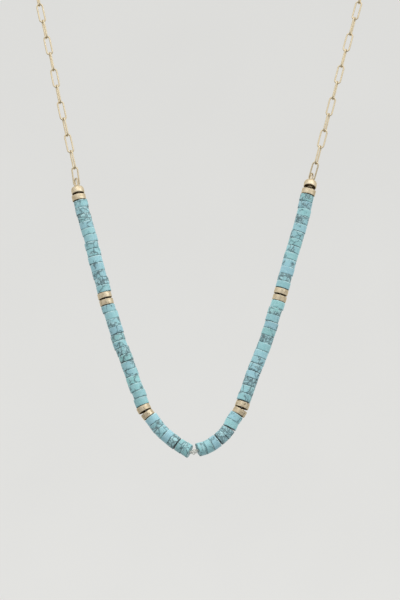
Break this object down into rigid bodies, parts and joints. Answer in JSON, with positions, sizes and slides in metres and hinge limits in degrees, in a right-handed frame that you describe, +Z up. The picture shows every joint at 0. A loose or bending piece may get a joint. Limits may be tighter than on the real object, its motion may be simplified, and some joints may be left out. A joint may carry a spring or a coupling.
{
  "type": "gemstone link necklace",
  "caption": "Worn-length loop of turquoise stone disc beads with pale gold spacer discs, continued by a fine paperclip chain and closed by a plain barrel clasp.",
  "frame": {"origin": "the point at the nape where the worn loop rests on a neck: the inner side of the clasp", "axes": "+Z up as worn, -Y to the front of the wearer, where the beaded V hangs; +X to the viewer's right"},
  "size_m": [0.1035, 0.0991, 0.1654],
  "materials": {
    "stone": "polished turquoise-coloured stone with dark matrix veins",
    "spacer_gold": "satin pale gold plate",
    "chain_gold": "bright pale gold plate",
    "thread": "waxed beading thread"
  },
  "bodies": {
    "root": {"beads_left_lower": "stone", "beads_left_middle": "stone", "beads_left_upper": "stone", "gold_disc_left_1": "spacer_gold", "gold_disc_left_2": "spacer_gold", "gold_disc_left_3": "spacer_gold", "gold_disc_left_4": "spacer_gold", "gold_disc_left_5": "spacer_gold", "end_bead_left": "spacer_gold", "chain_left_front": "chain_gold", "chain_left_back_1": "chain_gold", "chain_left_back_2": "chain_gold", "chain_left_back_3": "chain_gold", "beads_right_lower": "stone", "beads_right_middle": "stone", "beads_right_upper": "stone", "gold_disc_right_1": "spacer_gold", "gold_disc_right_2": "spacer_gold", "gold_disc_right_3": "spacer_gold", "gold_disc_right_4": "spacer_gold", "gold_disc_right_5": "spacer_gold", "end_bead_right": "spacer_gold", "chain_right_front": "chain_gold", "chain_right_back_1": "chain_gold", "chain_right_back_2": "chain_gold", "chain_right_back_3": "chain_gold", "clasp": "chain_gold"}
  },
  "joints": []
}
